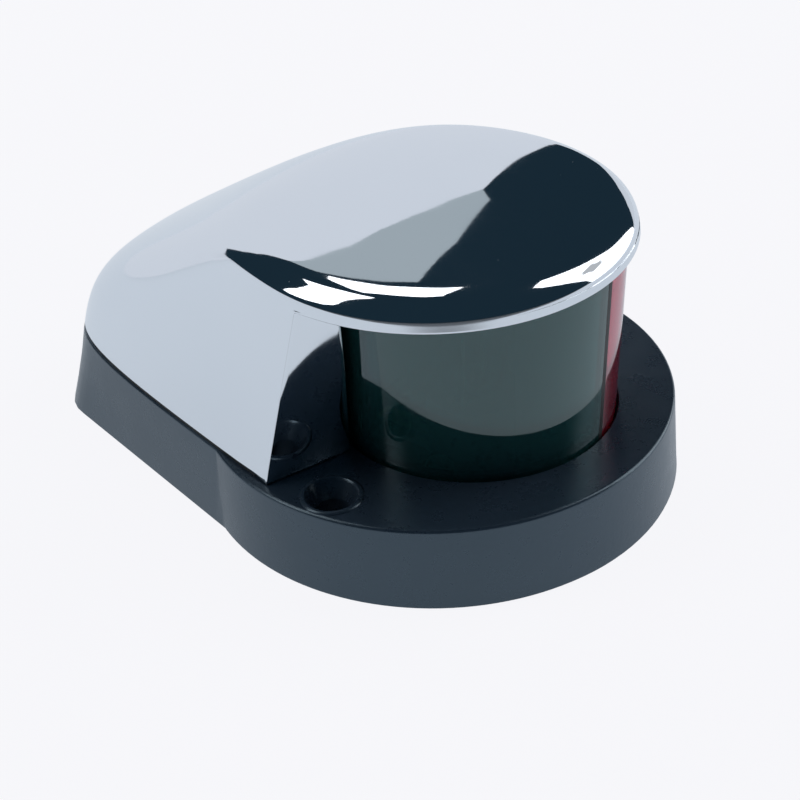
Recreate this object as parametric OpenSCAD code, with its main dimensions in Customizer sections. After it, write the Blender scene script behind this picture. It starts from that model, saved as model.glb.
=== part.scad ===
// Bow navigation light: red and green sectors under one chrome hood, on a moulded base.
// +X points at the bow, +Y to port, +Z up. The lens axis stands at the origin, on the deck.

/* [Base] */
// Height of the base's top deck
base_h = 13.3; // [12.5:0.1:14]
// Radius of the round front, at the deck and at the top
disc_r = 37.4; // [37:0.1:38]
disc_top_r = 36.5; // [36.3:0.1:36.8]
// Centre of the round front along X
disc_x = -6.7; // [-7:0.1:-6.4]
// Where the tail ends along X, at the deck and at the hood's skirt
tail_x = -71; // [-71.6:0.1:-70.4]
skirt_x = -71.2; // [-71.8:0.1:-70.6]
// Distance between the two mounting holes
hole_pitch = 63; // [62.6:0.1:63.4]
// Diameter of the mounting holes
hole_d = 4.8; // [4.2:0.1:5]

/* [Hood] */
// Overall height of the light
top_z = 47.4; // [47:0.1:48]
// Radius and height of the cap's lip, above the lens
lip_r = 29.6; // [29.2:0.1:29.8]
lip_z = 40.8; // [40.6:0.1:41]
// Radius of the hood at its skirt
skirt_r = 35.2; // [34.8:0.1:35.4]
// Taper of each long side towards the stern, in degrees
taper = 16; // [15:0.5:17]
// Wall of the casting
wall = 2.4; // [2:0.1:2.8]
// Angle of the front faces abaft the beam, and their forward lean, in degrees
wing_angle = 24.5; // [22.5:0.5:26]
wing_lean = 6; // [4:0.5:7]

/* [Lens] */
// Outer radius of the lens at its foot and at its top
lens_foot_r = 21.6; // [21.3:0.1:21.8]
lens_top_r = 22.6; // [22.4:0.1:22.7]
// Thickness of the lens
lens_t = 2; // [1.8:0.1:2.2]
// Width of the divider's fin
fin_t = 1.2; // [1:0.1:1.6]

/* [Lamp] */
// Height of the filament, the light's centre
filament_z = 27; // [26:0.5:27.5]
// Radius of the bulb's glass
bulb_r = 5; // [4.8:0.1:5.2]

/* [Hidden] */
$fn = 96;
eps = 0.01;
big = 240;
cap_x = -6;            // centre of the cap and of the hood's round front
skirt_z = 14;          // lower edge of the hood, on its gasket
band_z = 41.9;         // top of the lip's upright band
fillet_w = 6.2;        // the rounding over the band: how far in and how far up
fillet_h = 3.5;
dome_h = top_z - band_z - fillet_h;
draft = atan((skirt_r - lip_r) / (band_z - skirt_z));
base_r = 36.8;         // the tail at the deck: its round front, and its two corners astern
tail_round = 7.5;
tail_y = 13.4;
// Where the hood ends astern at each height: on the drafted side, round the lip, then over the domed top.
side_ends = [[skirt_z, skirt_x], [20, -70], [26, -63.6], [31, -55.9], [35.4, -48.4], [39.2, -42],
    [band_z, -37.3]];
lip_ends = [[25, -33.4], [50, -30.2], [75, -27.4], [90, -25.8]];
dome_ends = [[0.8, -21], [0.55, -15.5], [0.25, -10]];
wing_off = 1.4;        // the front faces pass this far ahead of the lens axis
lens_swing = 128;      // each lens reaches this far round from the bow
lens_gap_r = 22.95;    // bore that clears the lens as the hood lifts
floor_z = 5;           // floor of the lamp chamber
pad_t = 1.5;           // thickness of the mounting gasket
chamber_r = 18;
groove_z = 11.3;       // the lens groove in the base, and its seal
seal_t = 0.8;
lens_foot_z = groove_z + seal_t;
lens_top_z = 41.9;
cap_groove_z = 42.7;   // end of the groove above the lens
fin_top_z = 40.4;
hole_x = -4.4;
sink_d = 7.6;          // countersink of the mounting holes
ring_d = 9.2;          // raised ring around them
hood_screws_at = [[-60.5, 0], [-30, 22], [-30, -22]];
hood_screw_r = 1.5;
boss_r = 4;
outlet_x = -39;        // where the leads pass down through the deck
outlet_r = 2.5;
holder_top_z = 15.4;
wedge_z = 7.8;         // foot of the bulb's wedge
contact_y = 2.8;
lead_r = 0.3;
ear_y = 10.5;          // fixing ears of the lamp holder
tab_z = 7;
tab_t = 0.45;

// How full the hood's stern corners are at a height, along the side and across the stern: square low down,
// round at the top.
function side_k(z) = 0.97 - 0.16 * max(z - skirt_z, 0) / (top_z - skirt_z);
function stern_k(z) = 0.95 - 0.37 * max(z - skirt_z, 0) / (top_z - skirt_z);

function bezier(a, b, c, d, t) =
    pow(1 - t, 3) * a + 3 * pow(1 - t, 2) * t * b + 3 * (1 - t) * t * t * c + pow(t, 3) * d;

// Port half of the outline: a round front, then a curve that leaves along the taper and ends square astern.
function half_outline(z, r, end_x) =
    let (p = [cap_x - r * sin(taper), r * cos(taper)],
         corner = [end_x, p.y - (p.x - end_x) * tan(taper)])
    concat(
        [for (a = [0:5:90 + taper - 2]) [cap_x + r * cos(a), r * sin(a)]],
        [for (i = [0:14])
            bezier(p, p + (corner - p) * side_k(z), [end_x, corner.y * stern_k(z)], [end_x, 0], i / 14)]);

// Outline of the hood at one height.
module plan(z, r, end_x) {
    half = half_outline(z, r, end_x);
    polygon(concat(half, [for (i = [len(half) - 2:-1:1]) [half[i].x, -half[i].y]]));
}

// Outline of the tail at the deck.
module deck_plan(inset) {
    hull() {
        translate([cap_x, 0]) circle(base_r - inset);
        for (side = [-1, 1]) translate([tail_x + tail_round, side * tail_y]) circle(tail_round - inset);
    }
}

module slice(z, r, end_x) {
    translate([0, 0, z]) linear_extrude(eps) plan(z, r, end_x);
}

// Outer body of the hood, shrunk on all sides by inset. The long back falls away towards the stern.
module hood_body(inset, foot_z) {
    hull() {
        slice(foot_z, skirt_r + (skirt_z - foot_z) * tan(draft) - inset, skirt_x + inset);
        for (l = side_ends)
            slice(l[0] - inset * (l[0] - skirt_z) / (band_z - skirt_z),
                lip_r + (band_z - l[0]) * tan(draft) - inset, l[1] + inset);
        for (l = lip_ends)
            slice(band_z + fillet_h * sin(l[0]) - inset, lip_r - fillet_w * (1 - cos(l[0])) - inset, l[1] + inset);
        for (l = dome_ends)
            slice(top_z - dome_h * l[0] * l[0] - inset, (lip_r - fillet_w) * l[0], l[1]);
        translate([cap_x, 0, top_z - inset - eps]) cylinder(h = eps, r = 2, $fn = 24);
    }
}

// Everything ahead of the hood's two front faces, moved back by the given distance.
module ahead(back_by, low_z, high_z) {
    intersection() {
        union()
            for (side = [-1, 1])
                rotate([0, 0, side * wing_angle]) translate([wing_off - back_by, 0, base_h])
                    rotate([0, wing_lean, 0]) translate([0, -big / 2, -big / 2]) cube([big, big, big]);
        translate([-big / 2, -big / 2, low_z]) cube([big, big, high_z - low_z]);
    }
}

module ring(outer, inner, low_z, high_z) {
    translate([0, 0, low_z]) difference() {
        cylinder(h = high_z - low_z, r = outer);
        translate([0, 0, -1]) cylinder(h = high_z - low_z + 2, r = inner);
    }
}

module at_holes() {
    for (side = [-1, 1]) translate([hole_x, side * hole_pitch / 2, 0]) children();
}

module at_hood_screws() {
    for (p = hood_screws_at) translate([p[0], p[1], 0]) children();
}

module base() color("#20282c") difference() {
    union() {
        translate([disc_x, 0, 0]) cylinder(h = base_h, r1 = disc_r, r2 = disc_top_r);
        hull() {
            linear_extrude(eps) deck_plan(0);
            slice(base_h - eps, skirt_r + (skirt_z - base_h) * tan(draft), skirt_x - 0.2);
        }
        at_holes() cylinder(h = base_h + 0.3, d = ring_d);
    }
    // the mounting gasket lies in a recess underneath
    translate([0, 0, -1]) linear_extrude(pad_t + 1) gasket_outline(0);
    // lamp chamber, lens groove, wiring pocket and the channel between them
    translate([0, 0, floor_z]) cylinder(h = big, r = chamber_r);
    ring(lens_foot_r + 0.3, lens_foot_r - lens_t - 0.3, groove_z, base_h + 1);
    translate([0, 0, floor_z]) linear_extrude(base_h) hull() {
        translate([-34, 0]) circle(12);
        translate([-44, 0]) circle(9);
    }
    translate([-30, -4, floor_z]) cube([20, 8, 5]);
    // openings
    translate([outlet_x, 0, -1]) cylinder(h = base_h, r = 4.5);
    at_holes() {
        translate([0, 0, -1]) cylinder(h = base_h + 2, d = hole_d);
        translate([0, 0, base_h - 2.5]) cylinder(h = 2.81, d1 = hole_d, d2 = sink_d);
    }
    at_hood_screws() {
        translate([0, 0, -1]) cylinder(h = base_h + 2, r = hood_screw_r + 0.3);
        translate([0, 0, -1]) cylinder(h = floor_z + 1.5, r = 3.5);
    }
    for (side = [-1, 1]) translate([0, side * ear_y, 2.2]) cylinder(h = floor_z, r = 1.1);
}

module gasket_outline(gap) {
    difference() {
        union() {
            translate([disc_x, 0]) circle(disc_r - 3 - gap);
            deck_plan(3 + gap);
        }
        for (side = [-1, 1]) translate([hole_x, side * hole_pitch / 2]) circle(d = sink_d - gap);
    }
}

module mounting_gasket() color("#141414") difference() {
    linear_extrude(pad_t) gasket_outline(0.2);
    at_hood_screws() translate([0, 0, -1]) cylinder(h = pad_t + 2, r = 4);
    translate([outlet_x, 0, -1]) cylinder(h = pad_t + 2, r = 6.6);
    at_holes() translate([0, 0, -1]) cylinder(h = pad_t + 2, r = 4.6);
}

// Rubber grommet in the floor: a flange each side of it and a bore for the leads.
module wire_grommet() color("#101010") translate([outlet_x, 0, 0]) difference() {
    rotate_extrude() polygon([[0, 0.2], [5.4, 0.2], [6.2, 0.8], [6.2, pad_t], [4.5, pad_t],
        [4.5, floor_z], [6.2, floor_z], [6.2, 5.8], [4.6, 6.8], [0, 6.8]]);
    translate([0, 0, -1]) cylinder(h = 10, r = outlet_r);
}

// Rubber gasket under the hood's skirt.
module hood_gasket() color("#181c1e") difference() {
    translate([0, 0, base_h]) linear_extrude(skirt_z - base_h) difference() {
        plan(skirt_z, skirt_r - 0.15, skirt_x + 0.15);
        plan(skirt_z, skirt_r - 3.4, skirt_x + 3.4);
    }
    ahead(wall + 0.3, 0, big);
}

module hood() color("#c9d2da") difference() {
    union() {
        difference() {
            hood_body(0, base_h + 0.1);
            difference() {
                hood_body(wall, base_h - 1);
                ahead(wall, 0, big);
                ring(24.8, 19, lip_z, big);
            }
            // hollow above the bulb
            translate([0, 0, lip_z - 2]) cylinder(h = 44.6 - lip_z + 2, r = 19);
            // the skirt stands on its gasket, and only the front faces reach down to the deck
            difference() {
                translate([-big / 2, -big / 2, 0]) cube([big, big, skirt_z]);
                ahead(wall, 0, big);
            }
        }
        intersection() {
            hood_body(wall / 2, skirt_z);
            at_hood_screws() translate([0, 0, skirt_z]) cylinder(h = 30, r = boss_r);
        }
    }
    ahead(0, 0, lip_z);
    cylinder(h = lip_z, r = lens_gap_r);
    ring(lens_gap_r, lens_top_r - lens_t - 0.3, lip_z - 1, cap_groove_z);
    at_hood_screws() translate([0, 0, skirt_z - 1]) cylinder(h = 10, r = hood_screw_r + 0.08);
}

// One half of the lens, from the bow round into the hood.
module lens_half(side) {
    difference() {
        rotate([0, 0, side > 0 ? 0 : -lens_swing]) rotate_extrude(angle = lens_swing)
            polygon([[lens_foot_r - lens_t, lens_foot_z], [lens_foot_r, lens_foot_z],
                [lens_top_r, lens_top_z], [lens_top_r - lens_t, lens_top_z]]);
        translate([10, -fin_t / 2, 0]) cube([20, fin_t, top_z]);
    }
}

module starboard_lens() color("#0f4a3a", 0.7) lens_half(-1);

module port_lens() color("#b01828", 0.7) lens_half(1);

// Black fin between the colours: its front edge shows as the line at the bow.
module lens_divider() color("#0c0e10") translate([0, fin_t / 2, 0]) rotate([90, 0, 0])
    linear_extrude(fin_t) polygon([[7.5, floor_z + 0.1], [chamber_r - 0.2, floor_z + 0.1],
        [chamber_r - 0.2, base_h + 0.2], [lens_foot_r - lens_t, base_h + 0.2],
        [lens_foot_r - lens_t, lens_foot_z], [lens_foot_r, lens_foot_z], [lens_top_r, lens_top_z],
        [lens_top_r - lens_t, lens_top_z], [lens_top_r - lens_t, fin_top_z], [7.5, fin_top_z]]);

module lower_lens_seal() color("#161616")
    ring(lens_foot_r + 0.3, lens_foot_r - lens_t - 0.3, groove_z, lens_foot_z);

module upper_lens_seal() color("#161616")
    ring(lens_gap_r, lens_top_r - lens_t - 0.3, lens_top_z + 0.1, cap_groove_z);

// Dull black screen behind the bulb, with a notch for the leads.
module rear_screen() color("#1a1a1a") difference() {
    rotate([0, 0, 118]) rotate_extrude(angle = 124)
        polygon([[16.2, floor_z], [17.6, floor_z], [17.6, fin_top_z], [16.2, fin_top_z]]);
    translate([-25, -4.5, 0]) cube([15, 9, floor_z + 5.5]);
}

module lamp_holder() color("#2a2420") difference() {
    union() {
        translate([0, 0, floor_z]) cylinder(h = holder_top_z - floor_z, r = 7.4);
        translate([0, 0, floor_z]) linear_extrude(tab_z - floor_z) hull()
            for (side = [-1, 1]) translate([0, side * ear_y]) circle(3.2);
        translate([-13, -5, floor_z]) cube([13, 10, tab_z - floor_z]);
    }
    // slot for the bulb's wedge, and a pocket for each contact
    translate([-1.2, -5, tab_z]) cube([2.4, 10, 10]);
    for (side = [-1, 1]) {
        translate([-2.5, side * contact_y - 1.7, tab_z]) cube([2.5, 3.4, 10]);
        translate([-8, side * contact_y - 1.6, tab_z]) cube([7, 3.2, 1]);
        translate([-10.5, side * contact_y, floor_z + 0.4]) cylinder(h = 5, r = 0.8);
        translate([0, side * ear_y, 0]) cylinder(h = 10, r = 1.3);
    }
}

// Brass leaf that presses on the bulb's wedge, bent back into a tab for the lead.
module contact(side) {
    translate([0, side * contact_y, tab_z]) difference() {
        union() {
            translate([-2.3, -1.5, 0]) cube([tab_t, 3, 7]);
            translate([-16, -1.4, 0]) cube([14, 2.8, tab_t]);
        }
        translate([-10.5, 0, -1]) cylinder(h = 3, r = 0.8);
        translate([-14.6, 0, -1]) cylinder(h = 3, r = 0.6);
    }
}

module port_contact() color("#c9a24a") contact(1);

module starboard_contact() color("#c9a24a") contact(-1);

module contact_rivets() color("#d8c48a")
    for (side = [-1, 1]) translate([-10.5, side * contact_y, 0]) {
        translate([0, 0, floor_z + 0.4]) cylinder(h = tab_z + tab_t - floor_z - 0.4, r = 0.8);
        translate([0, 0, tab_z + tab_t]) cylinder(h = 0.6, r1 = 1.3, r2 = 0.9);
    }

module holder_screws() color("#b8bcc0")
    for (side = [-1, 1]) translate([0, side * ear_y, 0]) difference() {
        union() {
            translate([0, 0, 2.2]) cylinder(h = tab_z - 2.2, r = 1.1);
            translate([0, 0, tab_z]) cylinder(h = 1.5, r1 = 2.3, r2 = 1.7);
        }
        translate([-2.5, -0.3, tab_z + 0.8]) cube([5, 0.6, 2]);
    }

// Capless bulb: a hollow glass envelope that narrows to a flat wedge.
module bulb_glass() color("#e8f0f4", 0.4) difference() {
    union() {
        rotate_extrude() polygon(concat([[0, holder_top_z + 0.2], [2.6, holder_top_z + 0.2],
            [bulb_r, holder_top_z + 2.6]], [for (a = [0:15:90]) [bulb_r * cos(a), 32 + bulb_r * sin(a)]]));
        translate([-1.05, -4.8, wedge_z]) cube([2.1, 9.6, 9]);
    }
    rotate_extrude() polygon(concat([[0, 18.4], [bulb_r - 0.7, 18.6]],
        [for (a = [0:15:90]) [(bulb_r - 0.7) * cos(a), 32 + (bulb_r - 0.7) * sin(a)]]));
    for (side = [-1, 1]) translate([0, side * contact_y, 0]) cylinder(h = 20, r = lead_r);
}

// Wires from the wedge's faces up to the filament.
module bulb_leads() color("#a8a090")
    for (side = [-1, 1]) translate([0, side * contact_y, 0]) {
        translate([0, 0, wedge_z - lead_r]) cylinder(h = filament_z - wedge_z + lead_r, r = lead_r);
        translate([-1.65, -lead_r, wedge_z - 2 * lead_r]) cube([1.65 + lead_r, 2 * lead_r, lead_r * 2]);
        translate([-1.65, -lead_r, wedge_z - 2 * lead_r]) cube([0.6, 2 * lead_r, 5]);
    }

module bulb_filament() color("#6a6a70")
    translate([0, -contact_y + lead_r, filament_z - 0.5]) rotate([-90, 0, 0])
        cylinder(h = 2 * (contact_y - lead_r), r = 0.4);

module hood_screws() color("#c0c4c8") at_hood_screws() difference() {
    union() {
        translate([0, 0, 2.6]) cylinder(h = 2.2, r1 = 2.4, r2 = 2.9);
        translate([0, 0, 4.8]) cylinder(h = 17.2, r = hood_screw_r);
    }
    for (a = [0, 90]) rotate([0, 0, a]) translate([-1.6, -0.35, 2]) cube([3.2, 0.7, 2]);
}

module hood_screw_washers() color("#a8acb0")
    at_hood_screws() translate([0, 0, 4.8]) difference() {
        cylinder(h = 0.7, r = 3.3);
        translate([0, 0, -1]) cylinder(h = 3, r = hood_screw_r);
    }

base();
mounting_gasket();
wire_grommet();
hood_gasket();
hood();
starboard_lens();
port_lens();
lens_divider();
lower_lens_seal();
upper_lens_seal();
rear_screen();
lamp_holder();
port_contact();
starboard_contact();
contact_rivets();
holder_screws();
bulb_glass();
bulb_leads();
bulb_filament();
hood_screws();
hood_screw_washers();
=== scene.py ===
import math

import bmesh
import bpy
from mathutils import Matrix, Vector
from mathutils.bvhtree import BVHTree


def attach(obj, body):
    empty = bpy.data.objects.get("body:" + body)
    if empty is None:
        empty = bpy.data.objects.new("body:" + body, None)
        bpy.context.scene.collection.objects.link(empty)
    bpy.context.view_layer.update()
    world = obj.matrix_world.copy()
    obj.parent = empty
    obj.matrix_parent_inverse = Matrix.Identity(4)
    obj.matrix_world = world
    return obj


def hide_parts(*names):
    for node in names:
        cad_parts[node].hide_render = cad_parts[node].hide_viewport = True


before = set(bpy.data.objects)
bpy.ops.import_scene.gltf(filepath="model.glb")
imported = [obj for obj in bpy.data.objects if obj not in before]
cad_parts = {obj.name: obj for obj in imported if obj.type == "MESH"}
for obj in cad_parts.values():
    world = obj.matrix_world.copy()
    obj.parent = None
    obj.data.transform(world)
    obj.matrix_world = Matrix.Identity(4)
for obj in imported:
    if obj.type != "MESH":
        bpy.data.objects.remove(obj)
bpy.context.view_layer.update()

mm = 0.001
scene = bpy.context.scene
print("frame loaded:", len(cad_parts), "nodes")


def newPiece(name, mesh, body, material, replaces=()):
    piece = bpy.data.objects.new(name, mesh)
    scene.collection.objects.link(piece)
    piece.data.materials.append(material)
    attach(piece, body)
    if replaces:
        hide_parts(*replaces)
    return piece


def meshFrom(name, points, faces, smooth=True):
    # points in millimetres
    mesh = bpy.data.meshes.new(name)
    mesh.from_pydata([(x * mm, y * mm, z * mm) for x, y, z in points], [], faces)
    mesh.update()
    for face in mesh.polygons:
        face.use_smooth = smooth
    return mesh


def addBevel(piece, width, segments=2, angle=35):
    bevel = piece.modifiers.new("rounded edges", "BEVEL")
    bevel.width = width * mm
    bevel.segments = segments
    bevel.limit_method = "ANGLE"
    bevel.angle_limit = math.radians(angle)
    bevel.use_clamp_overlap = False
    bevel.miter_outer = "MITER_ARC"
    bevel.harden_normals = False
    return bevel


def addWeighted(piece):
    weighted = piece.modifiers.new("flat faces stay flat", "WEIGHTED_NORMAL")
    weighted.keep_sharp = True
    weighted.weight = 80
    return weighted


def addSubsurf(piece, levels):
    subsurf = piece.modifiers.new("smooth", "SUBSURF")
    subsurf.levels = levels
    subsurf.render_levels = levels
    subsurf.use_limit_surface = True
    return subsurf


def addScrew(piece, steps, angle=360.0, merge=0.005):
    screw = piece.modifiers.new("turned", "SCREW")
    screw.axis = "Z"
    screw.angle = math.radians(angle)
    screw.steps = steps
    screw.render_steps = steps
    screw.use_merge_vertices = abs(angle) >= 360
    screw.merge_threshold = merge * mm
    screw.use_normal_calculate = False
    screw.use_smooth_shade = True
    return screw


def applyStack(piece, place=None):
    # bakes the modifiers, then puts the piece's place in its mesh
    graph = bpy.context.evaluated_depsgraph_get()
    graph.update()
    mesh = bpy.data.meshes.new_from_object(piece.evaluated_get(graph))
    piece.modifiers.clear()
    piece.data = mesh
    if place is not None:
        mesh.transform(place)
    return piece


def smoothByAngle(mesh, angle):
    bm = bmesh.new()
    bm.from_mesh(mesh)
    limit = math.radians(angle)
    for edge in bm.edges:
        edge.smooth = len(edge.link_faces) == 2 and edge.calc_face_angle(0) < limit
    for face in bm.faces:
        face.smooth = True
    bm.to_mesh(mesh)
    bm.free()


cameraValues = {
    "azimuth": 35.237,    # degrees round from straight abeam
    "elevation": 34.203,
    "roll": -3.183,
    "distance": 0.236326,
    "target": (-0.0077475, -0.0087785, 0.015),
    "lens": 70.217,
    "sensor": 36.0,
}


def makeCamera(values):
    a, e, r = (math.radians(values[k]) for k in ("azimuth", "elevation", "roll"))
    back = Vector((math.sin(a) * math.cos(e), -math.cos(a) * math.cos(e), math.sin(e)))
    right = Vector((math.cos(a), math.sin(a), 0))
    up = back.cross(right)
    tiltedRight = math.cos(r) * right + math.sin(r) * up
    tiltedUp = -math.sin(r) * right + math.cos(r) * up
    data = bpy.data.cameras.new("camera")
    data.lens = values["lens"]
    data.sensor_width = values["sensor"]
    data.clip_start = 0.01
    data.clip_end = 50
    camera = bpy.data.objects.new("camera", data)
    scene.collection.objects.link(camera)
    turn = Matrix((tiltedRight, tiltedUp, back)).transposed().to_4x4()
    camera.matrix_world = Matrix.Translation(Vector(values["target"]) + back * values["distance"]) @ turn
    scene.camera = camera


makeCamera(cameraValues)
print("camera placed")


def emptyMaterial(name):
    material = bpy.data.materials.new(name)
    material.use_nodes = True
    nodes, links = material.node_tree.nodes, material.node_tree.links
    nodes.clear()
    return material, nodes, links


def chromePlate(name, values):
    # bright plated casting: a faint ripple, wiping haze and a little dust
    material, nodes, links = emptyMaterial(name)
    output = nodes.new("ShaderNodeOutputMaterial")
    output.label = "plated surface"
    plate = nodes.new("ShaderNodeBsdfPrincipled")
    plate.label = "chrome plate"
    place = nodes.new("ShaderNodeTexCoord")
    place.label = "place on the hood"

    haze = nodes.new("ShaderNodeTexNoise")
    haze.label = "wiping haze"
    haze.inputs["Scale"].default_value = values["hazeScale"]
    haze.inputs["Detail"].default_value = 4
    hazeAmount = nodes.new("ShaderNodeMapRange")
    hazeAmount.label = "haze to roughness"
    hazeAmount.inputs["From Min"].default_value = 0.35
    hazeAmount.inputs["From Max"].default_value = 0.75
    hazeAmount.inputs["To Min"].default_value = values["polish"]
    hazeAmount.inputs["To Max"].default_value = values["polish"] + values["haze"]

    specks = nodes.new("ShaderNodeTexVoronoi")
    specks.label = "dust specks"
    specks.inputs["Scale"].default_value = values["dustScale"]
    specks.inputs["Randomness"].default_value = 1
    where = nodes.new("ShaderNodeTexNoise")
    where.label = "where dust lies"
    where.inputs["Scale"].default_value = 90
    thinning = nodes.new("ShaderNodeMapRange")
    thinning.label = "dust size by place"
    thinning.inputs["From Min"].default_value = 0.42
    thinning.inputs["From Max"].default_value = 0.72
    thinning.inputs["To Min"].default_value = 0.0
    thinning.inputs["To Max"].default_value = values["dustSize"]
    isSpeck = nodes.new("ShaderNodeMath")
    isSpeck.label = "is a speck"
    isSpeck.operation = "LESS_THAN"
    speckRough = nodes.new("ShaderNodeMix")
    speckRough.label = "specks are dull"
    speckRough.data_type = "FLOAT"
    speckRough.inputs["B"].default_value = 0.55
    speckMetal = nodes.new("ShaderNodeMath")
    speckMetal.label = "specks aren't metal"
    speckMetal.operation = "SUBTRACT"
    speckMetal.inputs[0].default_value = 1

    tone = nodes.new("ShaderNodeTexNoise")
    tone.label = "plating tone"
    tone.inputs["Scale"].default_value = 26
    tone.inputs["Detail"].default_value = 2
    tint = nodes.new("ShaderNodeMix")
    tint.label = "plate colour"
    tint.data_type = "RGBA"
    tint.inputs["A"].default_value = (*values["tint"], 1)
    tint.inputs["B"].default_value = (*values["tintShade"], 1)

    edges = nodes.new("ShaderNodeNewGeometry")
    edges.label = "edges"
    # darker along the sharp convex edges, mixed towards a dark grey
    edgeDarkening = nodes.new("ShaderNodeMapRange")
    edgeDarkening.label = "darker along sharp edges"
    edgeDarkening.inputs["From Min"].default_value = 0.53
    edgeDarkening.inputs["From Max"].default_value = 0.58
    edgeDarkening.inputs["To Max"].default_value = values["edgeDarkening"]
    edged = nodes.new("ShaderNodeMix")
    edged.label = "dark edge"
    edged.data_type = "RGBA"
    edged.inputs["B"].default_value = (*values["edgeDarkColour"], 1)

    ripple = nodes.new("ShaderNodeTexNoise")
    ripple.label = "casting ripple"
    ripple.inputs["Scale"].default_value = values["rippleScale"]
    ripple.inputs["Detail"].default_value = 1
    rippleBump = nodes.new("ShaderNodeBump")
    rippleBump.label = "ripple"
    rippleBump.inputs["Strength"].default_value = values["ripple"]
    rippleBump.inputs["Distance"].default_value = 0.0002
    peel = nodes.new("ShaderNodeTexNoise")
    peel.label = "plating grain"
    peel.inputs["Scale"].default_value = 1400
    peelBump = nodes.new("ShaderNodeBump")
    peelBump.label = "grain"
    peelBump.inputs["Strength"].default_value = values["grain"]
    peelBump.inputs["Distance"].default_value = 0.00001

    for target in (haze, specks, where, tone, ripple, peel):
        links.new(place.outputs["Object"], target.inputs["Vector"])
    links.new(haze.outputs["Fac"], hazeAmount.inputs["Value"])
    links.new(where.outputs["Fac"], thinning.inputs["Value"])
    links.new(specks.outputs["Distance"], isSpeck.inputs[0])
    links.new(thinning.outputs["Result"], isSpeck.inputs[1])
    links.new(isSpeck.outputs["Value"], speckRough.inputs["Factor"])
    links.new(hazeAmount.outputs["Result"], speckRough.inputs["A"])
    links.new(isSpeck.outputs["Value"], speckMetal.inputs[1])
    links.new(speckRough.outputs["Result"], plate.inputs["Roughness"])
    links.new(speckMetal.outputs["Value"], plate.inputs["Metallic"])
    links.new(tone.outputs["Fac"], tint.inputs["Factor"])
    links.new(edges.outputs["Pointiness"], edgeDarkening.inputs["Value"])
    links.new(edgeDarkening.outputs["Result"], edged.inputs["Factor"])
    links.new(tint.outputs["Result"], edged.inputs["A"])
    links.new(edged.outputs["Result"], plate.inputs["Base Color"])
    links.new(ripple.outputs["Fac"], rippleBump.inputs["Height"])
    links.new(peel.outputs["Fac"], peelBump.inputs["Height"])
    links.new(rippleBump.outputs["Normal"], peelBump.inputs["Normal"])
    links.new(peelBump.outputs["Normal"], plate.inputs["Normal"])
    links.new(plate.outputs["BSDF"], output.inputs["Surface"])

    layout(nodes, {
        "place": [place], "polish": [haze, hazeAmount],
        "dust": [specks, where, thinning, isSpeck, speckRough, speckMetal],
        "colour": [tone, tint, edges, edgeDarkening, edged], "relief": [ripple, rippleBump, peel, peelBump],
        "surface": [plate, output]})
    return material


def layout(nodes, groups):
    # a frame for each effect, its nodes in a row
    for row, (label, members) in enumerate(groups.items()):
        frameNode = nodes.new("NodeFrame")
        frameNode.label = label
        for column, node in enumerate(members):
            node.parent = frameNode
            node.location = (column * 220 + (1500 if label == "surface" else 0), -row * 320)


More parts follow.
